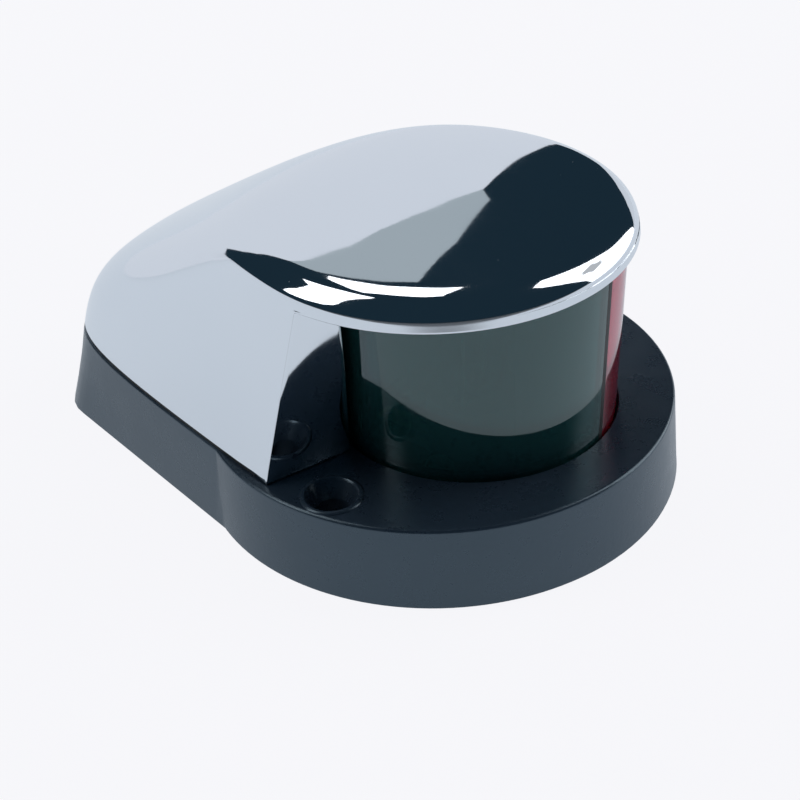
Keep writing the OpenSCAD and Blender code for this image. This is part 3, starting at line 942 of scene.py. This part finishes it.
def makeBase():
    v = baseValues
    h = v["height"]
    top, foot = v["discTopR"], v["discR"]
    disc = turned("baseMoulding", [
        (0, h), (top - 0.55, h), (top - 0.25, h - 0.07), (top - 0.05, h - 0.24), (top + 0.04, h - 0.55),
        (foot - 0.02, 0.35), (foot - 0.1, 0.1), (foot - 0.3, 0), (0, 0)], 144, v["discX"])
    rows = [(deckOutline(0.3), 0.02), (deckOutline(0.08), 0.12), (deckOutline(0), 0.35)]
    for z in (4.5, 8.9, h - 0.35):
        rows.append((blended(deckOutline(0), skirtOutline(0), z / h), z))
    rows += [(skirtOutline(0.08), h - 0.14), (skirtOutline(0.3), h - 0.02)]
    shaped(disc, lofted("tail", rows), "UNION")
    for side in (-1, 1):
        top, r = h + v["ringRise"], v["ringR"]
        ring = [(0, top), (r - 0.4, top), (r - 0.15, top - 0.07),
                (r, h + 0.05), (r + 0.08, h - 0.3), (0, h - 0.3)]
        shaped(disc, turned("ring", ring, 64, v["holeX"], side * v["holeY"]), "UNION")
    # underneath: the gasket's recess, with a pad left round each mounting hole
    recess = lofted("recess", [(deckOutline(v["rim"]), -1), (deckOutline(v["rim"]), v["recess"])])
    for side in (-1, 1):
        pad = [(0, 3), (v["sinkR"], 3), (v["sinkR"], -3), (0, -3)]
        shaped(recess, turned("pad", pad, 48, v["holeX"], side * v["holeY"]), "DIFFERENCE")
    shaped(disc, recess, "DIFFERENCE")
    # above: lamp chamber, lens groove, wiring pocket and the channel between
    r, floor = v["chamberR"], v["floorZ"]
    shaped(disc, turned("chamber", [
        (0, 20), (19, 20), (r + 0.3, h + 0.05), (r, h - 0.3), (r, floor), (0, floor)], 96), "DIFFERENCE")
    inner, outer, foot = v["groove"]
    shaped(disc, turned("groove", [
        (outer + 0.5, h + 0.3), (outer + 0.22, h + 0.02), (outer, h - 0.25), (outer, foot),
        (inner, foot), (inner, h + 0.3)], 128, closed=True), "DIFFERENCE")
    pocket = []
    for (x, r), quarter in ((v["pocketFront"], -math.pi / 2), (v["pocketBack"], math.pi / 2)):
        for i in range(33):
            t = math.pi * i / 32 + quarter
            pocket.append((x + r * math.cos(t), r * math.sin(t)))
    shaped(disc, lofted("pocket", [(pocket, floor), (pocket, h + 1)]), "DIFFERENCE")
    back, ahead, half = v["channel"]
    channel = [(back, -half), (ahead, -half), (ahead, half), (back, half)]
    shaped(disc, lofted("channel", [(channel, floor + 0.03), (channel, 10)]), "DIFFERENCE")
    outlet = [(0, h), (v["outletR"], h), (v["outletR"], -1), (0, -1)]
    shaped(disc, turned("outlet", outlet, 48, v["outletX"]), "DIFFERENCE")
    for side in (-1, 1):
        top, sink, r = h + v["ringRise"], v["sinkR"], v["holeR"]
        hole = [(0, top + 1), (sink + 1, top + 1), (sink + 0.16, top + 0.02), (sink - 0.02, top - 0.16),
                (sink - 0.15, top - 0.4), (r + 0.08, h - 2.4), (r, h - 2.6), (r, -1), (0, -1)]
        shaped(disc, turned("hole", hole, 64, v["holeX"], side * v["holeY"]), "DIFFERENCE")
    r, wide, seat = v["screwR"], v["counterR"], v["counterZ"]
    for x, y in v["screws"]:
        bore = [(0, h + 1), (r, h + 1), (r, seat), (wide, seat), (wide, -1), (0, -1)]
        shaped(disc, turned("bore", bore, 48, x, y), "DIFFERENCE")
    disc.data.materials.clear()
    disc.data.materials.append(basePlastic)
    smoothByAngle(disc.data, 38)
    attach(disc, "base")
    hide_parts("base")
    addWeighted(disc)
    return disc


makeBase()
print("base made")


softValues = {
    # node: new piece, body, slot, material, edge rounding in millimetres
    "mounting_gasket": ("deckGasket", "base", "foam_rubber", foamRubber, 0.2),
    "wire_grommet": ("leadGrommet", "base", "rubber", sealRubber, 0.15),
    "hood_gasket": ("skirtGasket", "base", "rubber", sealRubber, 0.1),
    "lens_divider": ("colourDivider", "base", "black_plastic", blackPlastic, 0.1),
    "lower_lens_seal": ("footSeal", "base", "rubber", sealRubber, 0.15),
    "upper_lens_seal": ("headSeal", "hood", "rubber", sealRubber, 0.1),
    "rear_screen": ("rearScreen", "base", "black_plastic", blackPlastic, 0.15),
    "lamp_holder": ("lampHolder", "base", "holder_plastic", holderPlastic, 0.2),
    "port_contact": ("portContact", "base", "brass", brassStrip, 0.08),
    "starboard_contact": ("starboardContact", "base", "brass", brassStrip, 0.08),
    "contact_rivets": ("contactRivets", "base", "brass", brassStrip, 0.1),
    "holder_screws": ("holderScrews", "base", "steel", stainless, 0.1),
    "hood_screws": ("hoodScrews", "base", "steel", stainless, 0.1),
    "hood_screw_washers": ("hoodScrewWashers", "base", "steel", stainless, 0.1),
}


def softened(node, name, body, slot, material, width):
    # the node's own shape with its edges rounded
    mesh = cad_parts[node].data.copy()
    mesh.name = name
    mesh.materials.clear()
    bm = bmesh.new()
    bm.from_mesh(mesh)
    bmesh.ops.remove_doubles(bm, verts=bm.verts, dist=0.03 * mm)
    bmesh.ops.dissolve_degenerate(bm, edges=bm.edges, dist=0.03 * mm)
    for face in bm.faces:
        face.smooth = True
    bm.to_mesh(mesh)
    bm.free()
    piece = newPiece(name, mesh, body, material, (node,))
    addBevel(piece, width, 2, 32)
    addWeighted(piece)
    return piece


for node, values in softValues.items():
    softened(node, *values)
print("small parts made:", len(softValues))


lensValues = {
    "footR": 21.6, "topR": 22.6, "footZ": 12.1, "topZ": 41.9, "thickness": 2.0,
    "swing": 127.1, "start": 0.9,   # degrees round, and off the divider
}


def makeLens(name, side, material, node):
    v = lensValues
    rows = 12
    points = []
    for i in range(rows + 1):
        t = i / rows
        r = v["topR"] + (v["footR"] - v["topR"]) * t
        z = v["topZ"] + (v["footZ"] - v["topZ"]) * t
        a = math.radians(v["start"] * side)
        points.append((r * math.cos(a), r * math.sin(a), z))
    mesh = bpy.data.meshes.new(name)
    edges = [(i, i + 1) for i in range(rows)]
    mesh.from_pydata([(x * mm, y * mm, z * mm) for x, y, z in points], edges, [])
    lens = newPiece(name, mesh, "base", material, (node,))
    addScrew(lens, 72, v["swing"] * side)
    wall = lens.modifiers.new("lens wall", "SOLIDIFY")
    wall.thickness = v["thickness"] * mm
    wall.offset = -1 if side > 0 else 1
    wall.use_even_offset = True
    addBevel(lens, 0.2, 3, 40)
    addWeighted(lens)
    return lens


makeLens("starboardLens", -1, greenClear, "starboard_lens")
makeLens("portLens", 1, redClear, "port_lens")
print("lenses made")


bulbValues = {
    "glassR": 5.0, "wall": 0.6, "footZ": 15.6, "shoulderZ": 18.0, "headZ": 32.0,
    "wedge": (1.05, 4.8, 7.8, 16.6),   # half thickness, half width, foot, head
    "leadY": 2.8, "leadR": 0.3, "filamentZ": 27.0, "coilR": 0.32, "wireR": 0.07, "turns": 16,
}


def makeBulb():
    v = bulbValues
    profile = [(0, v["headZ"] + v["glassR"])]
    for a in range(75, -1, -15):
        t = math.radians(a)
        profile.append((v["glassR"] * math.cos(t), v["headZ"] + v["glassR"] * math.sin(t)))
    profile += [(v["glassR"], 28), (v["glassR"], 22), (v["glassR"], v["shoulderZ"]), (4.5, 16.9), (3.4, 16.0),
                (2.6, v["footZ"]), (0, v["footZ"])]
    mesh = bpy.data.meshes.new("bulbEnvelope")
    edges = [(i, i + 1) for i in range(len(profile) - 1)]
    mesh.from_pydata([(r * mm, 0, z * mm) for r, z in profile], edges, [])
    envelope = newPiece("bulbEnvelope", mesh, "bulb", bulbClear, ("bulb_glass",))
    addScrew(envelope, 48)
    wall = envelope.modifiers.new("glass wall", "SOLIDIFY")
    wall.thickness = v["wall"] * mm
    wall.offset = -1
    addSubsurf(envelope, 1)

    x, y, low, high = v["wedge"]
    levels = [(low, 0.55, 0.9), (low + 0.5, 1, 1), (low + 3.5, 1, 1), (high - 2, 1, 1), (high, 1.15, 0.62)]
    points, faces = [], []
    for z, fx, fy in levels:
        for px, py in ((1, -1), (1, -0.33), (1, 0.33), (1, 1), (-1, 1), (-1, 0.33), (-1, -0.33), (-1, -1)):
            points.append((px * x * fx, py * y * fy, z))
    for row in range(len(levels) - 1):
        for i in range(8):
            a, b = row * 8 + i, row * 8 + (i + 1) % 8
            faces.append((a, b, b + 8, a + 8))
    end = (len(levels) - 1) * 8
    for k in range(3):
        faces.append((k, 7 - k, 6 - k, k + 1))
    for k in range(3):
        faces.append((end + k, end + k + 1, end + 6 - k, end + 7 - k))
    wedge = newPiece("bulbWedge", meshFrom("bulbWedge", points, faces), "bulb", bulbClear)
    addBevel(wedge, 0.25, 2, 30)
    addSubsurf(wedge, 1)


def tube(name, paths, radius, body, material, replaces=()):
    data = bpy.data.curves.new(name, "CURVE")
    data.dimensions = "3D"
    data.bevel_depth = radius * mm
    data.bevel_resolution = 3
    data.use_fill_caps = True
    for path in paths:
        line = data.splines.new("POLY")
        line.points.add(len(path) - 1)
        for point, (x, y, z) in zip(line.points, path):
            point.co = (x * mm, y * mm, z * mm, 1)
    return newPiece(name, data, body, material, replaces)


def makeFilament():
    v = bulbValues
    y, z = v["leadY"], v["filamentZ"]
    leads = []
    for s in (-1, 1):
        leads.append([
            (-1.35, s * y, 11.6), (-1.35, s * y, 7.9), (-1.1, s * y, 7.5), (-0.6, s * y, 7.4),
            (0, s * y, 7.7), (0, s * y, 9), (0, s * y, 20), (0, s * y, z - 0.4),
            (0, s * (y - 0.12), z), (0, s * (y - 0.4), z + 0.12)])
    tube("bulbLeads", leads, v["leadR"] * 0.85, "bulb", leadWire, ("bulb_leads",))
    coil = []
    steps = v["turns"] * 12
    for i in range(steps + 1):
        t = 2 * math.pi * v["turns"] * i / steps
        along = -(y - 0.45) + 2 * (y - 0.45) * i / steps
        bow = 0.5 * (1 - (along / y)**2)
        coil.append((v["coilR"] * math.cos(t), along, z + bow * 0.4 + v["coilR"] * math.sin(t)))
    tube("bulbFilament", [coil], v["wireR"], "bulb", tungsten, ("bulb_filament",))


makeBulb()
makeFilament()
print("bulb made")


bossValues = {
    "places": baseValues["screws"], "r": 4.0, "boreR": 1.58, "footZ": 14.0, "boreTopZ": 23.0,
    "columns": 32,
    "searchZ": 16.0, "bite": 0.4, "noRoofZ": 20.0,   # the search for the roof, and the bite into it
}


def makeBosses(shell):
    # each boss runs from the gasket up into the roof, whose slope it meets
    graph = bpy.context.evaluated_depsgraph_get()
    graph.update()
    roof = BVHTree.FromObject(shell, graph)
    v = bossValues
    n = v["columns"]
    points, faces = [], []
    for cx, cy in v["places"]:
        start = len(points)
        ring = [(math.cos(2 * math.pi * i / n), math.sin(2 * math.pi * i / n)) for i in range(n)]
        heights = []
        for c, s in ring:
            x, y = cx + v["r"] * c, cy + v["r"] * s
            hit = roof.ray_cast(Vector((x * mm, y * mm, v["searchZ"] * mm)), Vector((0, 0, 1)))[0]
            heights.append(hit.z / mm + v["bite"] if hit else v["noRoofZ"])
        for (c, s), z in zip(ring, heights):
            points.append((cx + v["r"] * c, cy + v["r"] * s, z))
        for r, z in ((v["r"], v["footZ"] + 0.3), (v["r"] - 0.3, v["footZ"]), (v["boreR"] + 0.3, v["footZ"]),
                     (v["boreR"], v["footZ"] + 0.3), (v["boreR"], v["boreTopZ"])):
            points += [(cx + r * c, cy + r * s, z) for c, s in ring]
        for row in range(5):
            for i in range(n):
                a, b = start + row * n + i, start + row * n + (i + 1) % n
                faces.append((b, a, a + n, b + n))
        faces.append([start + i for i in range(n)])
        faces.append([start + 5 * n + i for i in reversed(range(n))])
    mesh = meshFrom("hoodBosses", points, faces)
    smoothByAngle(mesh, 40)
    return newPiece("hoodBosses", mesh, "hood", chrome)


makeBosses(hoodShell)
print("bosses made")


stageValues = {
    "floorSize": 6.0, "floorTone": (0.60, 0.645, 0.70), "floorGlow": 0.88, "beyondGlow": 0.03,
    "floorGap": 0.03,                                    # just under the gasket, so the two don't flicker
    "tableWay": (0.62, -0.785, 0), "tableEdge": 0.24,    # the way to the table's front edge, and how far
    "paper": (0.3, 0.31, 0.33), "shadow": (0.9, 0.9, 0.93), "shadowShare": 0.06,
    "background": (0.962, 0.962, 0.992), "room": (0.0108, 0.0254, 0.039),
    "centre": (0, 0, 0.045), "reach": 1.1,
}

# light panels and the backdrop, each a list of (azimuth from the bow, elevation) round the light
panels = {
    "backdrop": {"glow": 1.0, "colour": (0.72, 0.755, 0.82), "corners": [
        (104, -24), (109, -6), (113, 3), (114, 10), (116, 17), (119, 29), (121, 35), (123, 40), (127, 46.5),
        (133, 45), (143, 41), (156, 37), (165, 31), (170, 22), (172, 8), (178, 1), (196, -8), (196, -24)]},
    "backdropShade": {"glow": 1.0, "colour": (0.40, 0.455, 0.49), "reach": 1.05, "corners": [
        (118.5, 27), (123, 32), (127, 35), (132, 38), (135, 39.5), (147, 40), (143, 44), (133, 47),
        (127, 48.5), (121, 41), (117.5, 30)]},
    "farTable": {"glow": 1.0, "colour": (0.66, 0.70, 0.76), "corners": [
        (68, -22), (72, -12), (80, 1), (86, 7), (92, 10.5), (100, 10), (104, 5), (109, -4), (112, -24)]},
    "rightWindow": {"glow": 2.2, "colour": (0.97, 0.98, 1.0), "corners": [
        (33, -13), (29, 5), (29, 30), (32, 48), (38, 58), (48, 63), (60, 62.5), (73, 60), (70, 48), (70, 32),
        (76, 18), (79, 4), (77, -8), (72, -14), (52, -16.5)]},
    "backWindow": {"glow": 2.2, "colour": (0.97, 0.98, 1.0), "corners": [
        (118.5, 53.5), (119, 60), (121, 72), (133, 73), (143, 70), (152, 66), (160, 64.5), (157, 60),
        (151, 54.5), (147, 49.5), (142, 46), (134, 49), (127, 51.5)]},
    "leftWindow": {"glow": 2.2, "colour": (0.97, 0.98, 1.0), "corners": [
        (172, 51), (172, 62), (180, 71.5), (193, 71), (207, 67), (218, 62), (229, 54), (237, 45),
        (240, 36), (238, 26), (230, 19), (220, 16), (215, 18), (212, 30), (208, 41), (198, 49), (187, 53)]},
}


def glowing(name, colour, strength):
    material, nodes, links = emptyMaterial(name)
    output = nodes.new("ShaderNodeOutputMaterial")
    output.label = "panel"
    glow = nodes.new("ShaderNodeEmission")
    glow.label = "even glow"
    glow.inputs["Color"].default_value = (*colour, 1)
    glow.inputs["Strength"].default_value = strength
    links.new(glow.outputs["Emission"], output.inputs["Surface"])
    layout(nodes, {"surface": [glow, output]})
    return material


def makePanels():
    v = stageValues
    for name, panel in panels.items():
        reach = panel.get("reach", v["reach"])
        points = []
        for azimuth, elevation in panel["corners"]:
            a, e = math.radians(azimuth), math.radians(elevation)
            away = Vector((math.cos(e) * math.cos(a), math.cos(e) * math.sin(a), math.sin(e)))
            points.append(Vector(v["centre"]) + away * reach)
        mesh = bpy.data.meshes.new(name)
        mesh.from_pydata(points, [], [range(len(points))])
        mesh.materials.append(glowing(name, panel["colour"], panel["glow"]))
        card = bpy.data.objects.new(name, mesh)
        scene.collection.objects.link(card)
        card.visible_camera = False
        card.visible_shadow = False


def makeFloor():
    v = stageValues
    size = v["floorSize"]
    mesh = bpy.data.meshes.new("floor")
    low = -v["floorGap"] * mm
    corners = [(-size, -size, low), (size, -size, low), (size, size, low), (-size, size, low)]
    mesh.from_pydata(corners, [], [(0, 1, 2, 3)])
    floor = bpy.data.objects.new("floor", mesh)
    scene.collection.objects.link(floor)
    material, nodes, links = emptyMaterial("floorPaper")
    output = nodes.new("ShaderNodeOutputMaterial")
    output.label = "floor"
    ray = nodes.new("ShaderNodeLightPath")
    ray.label = "seen directly"
    place = nodes.new("ShaderNodeTexCoord")
    place.label = "place on the floor"
    across = nodes.new("ShaderNodeVectorMath")
    across.label = "distance towards the front"
    across.operation = "DOT_PRODUCT"
    across.inputs[1].default_value = v["tableWay"]
    edge = nodes.new("ShaderNodeMapRange")
    edge.label = "table edge"
    edge.interpolation_type = "SMOOTHSTEP"
    edge.inputs["From Min"].default_value = v["tableEdge"]
    edge.inputs["From Max"].default_value = v["tableEdge"] * 1.25
    edge.inputs["To Min"].default_value = v["floorGlow"]
    edge.inputs["To Max"].default_value = v["beyondGlow"]
    tableGlow = nodes.new("ShaderNodeEmission")
    tableGlow.label = "even table"
    tableGlow.inputs["Color"].default_value = (*v["floorTone"], 1)
    paper = nodes.new("ShaderNodeBsdfDiffuse")
    paper.label = "pale paper"
    paper.inputs["Color"].default_value = (*v["paper"], 1)
    table = nodes.new("ShaderNodeAddShader")
    table.label = "table"
    plain = nodes.new("ShaderNodeEmission")
    plain.label = "plain background"
    plain.inputs["Color"].default_value = (*v["background"], 1)
    shade = nodes.new("ShaderNodeBsdfDiffuse")
    shade.label = "shadow under the light"
    shade.inputs["Color"].default_value = (*v["shadow"], 1)
    grounded = nodes.new("ShaderNodeMixShader")
    grounded.label = "a little shadow"
    grounded.inputs["Fac"].default_value = v["shadowShare"]
    mix = nodes.new("ShaderNodeMixShader")
    mix.label = "background or table"
    links.new(place.outputs["Object"], across.inputs[0])
    links.new(across.outputs["Value"], edge.inputs["Value"])
    links.new(edge.outputs["Result"], tableGlow.inputs["Strength"])
    links.new(tableGlow.outputs["Emission"], table.inputs[0])
    links.new(paper.outputs["BSDF"], table.inputs[1])
    links.new(plain.outputs["Emission"], grounded.inputs[1])
    links.new(shade.outputs["BSDF"], grounded.inputs[2])
    links.new(ray.outputs["Is Camera Ray"], mix.inputs["Fac"])
    links.new(table.outputs["Shader"], mix.inputs[1])
    links.new(grounded.outputs["Shader"], mix.inputs[2])
    links.new(mix.outputs["Shader"], output.inputs["Surface"])
    layout(nodes, {"place": [place, across, edge], "table": [tableGlow, paper, table],
                   "background": [plain, shade, grounded], "surface": [ray, mix, output]})
    mesh.materials.append(material)


def makeWorld():
    v = stageValues
    world = bpy.data.worlds.new("studio")
    scene.world = world
    world.use_nodes = True
    nodes, links = world.node_tree.nodes, world.node_tree.links
    nodes.clear()
    output = nodes.new("ShaderNodeOutputWorld")
    output.label = "studio"
    seen = nodes.new("ShaderNodeBackground")
    seen.label = "plain background"
    seen.inputs["Color"].default_value = (*v["background"], 1)
    room = nodes.new("ShaderNodeBackground")
    room.label = "dark room"
    room.inputs["Color"].default_value = (*v["room"], 1)
    ray = nodes.new("ShaderNodeLightPath")
    ray.label = "seen directly"
    mix = nodes.new("ShaderNodeMixShader")
    mix.label = "background or room"
    links.new(ray.outputs["Is Camera Ray"], mix.inputs["Fac"])
    links.new(room.outputs["Background"], mix.inputs[1])
    links.new(seen.outputs["Background"], mix.inputs[2])
    links.new(mix.outputs["Shader"], output.inputs["Surface"])
    layout(nodes, {"background": [seen, room], "surface": [ray, mix, output]})


makeFloor()
makePanels()
makeWorld()
scene.view_settings.view_transform = "Standard"
print("stage made")
